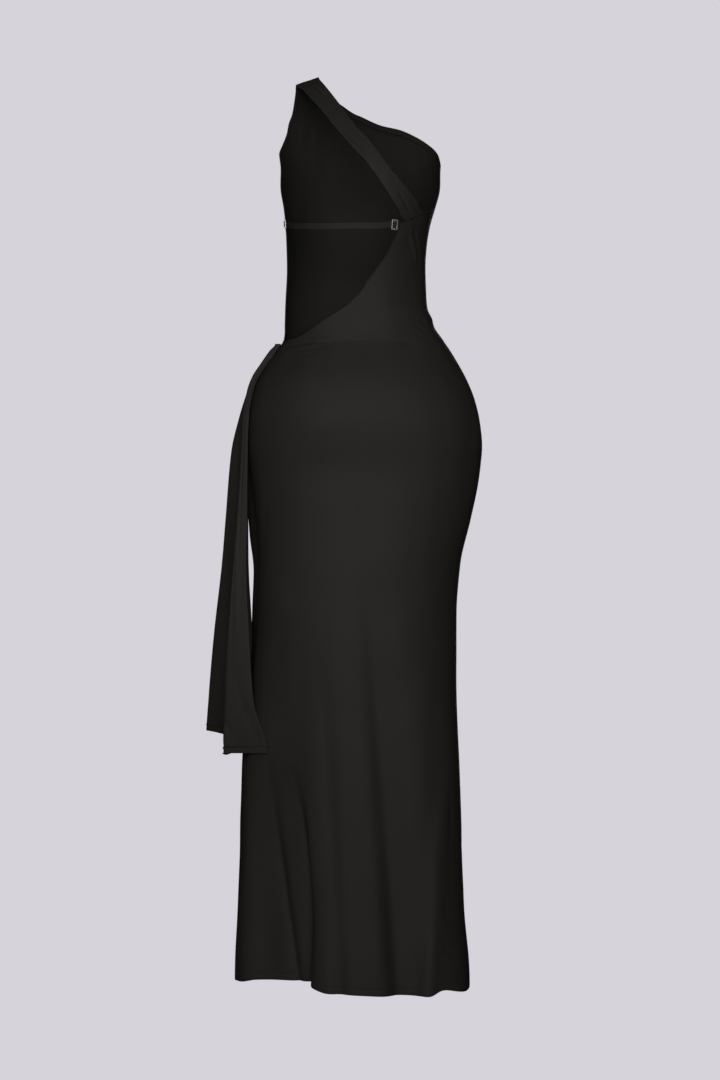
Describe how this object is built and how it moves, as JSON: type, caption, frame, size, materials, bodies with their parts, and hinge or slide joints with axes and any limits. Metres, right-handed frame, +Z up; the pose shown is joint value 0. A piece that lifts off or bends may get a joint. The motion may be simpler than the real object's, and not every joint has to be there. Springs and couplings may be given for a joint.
{
  "type": "one-shoulder dress",
  "caption": "Long one-shoulder dress in black jersey, filled out as worn, with an open back, a diagonal shoulder strap, a thin strap through two sliders and a hip sash.",
  "frame": {"origin": "on top of the wearer's left shoulder, under the shoulder strap, where the wearer holds the dress up", "axes": "+Z up, -Y the front of the dress, +X the wearer's left"},
  "size_m": [0.4443, 0.2475, 1.4475],
  "materials": {
    "jersey": "fine black jersey with a soft satin sheen",
    "slider_metal": "polished silver"
  },
  "bodies": {
    "root": {"front_panel": "jersey", "back_panel": "jersey", "shoulder_strap": "jersey", "back_strap": "jersey", "side_sash": "jersey", "slider_left": "slider_metal", "slider_right": "slider_metal"}
  },
  "joints": []
}
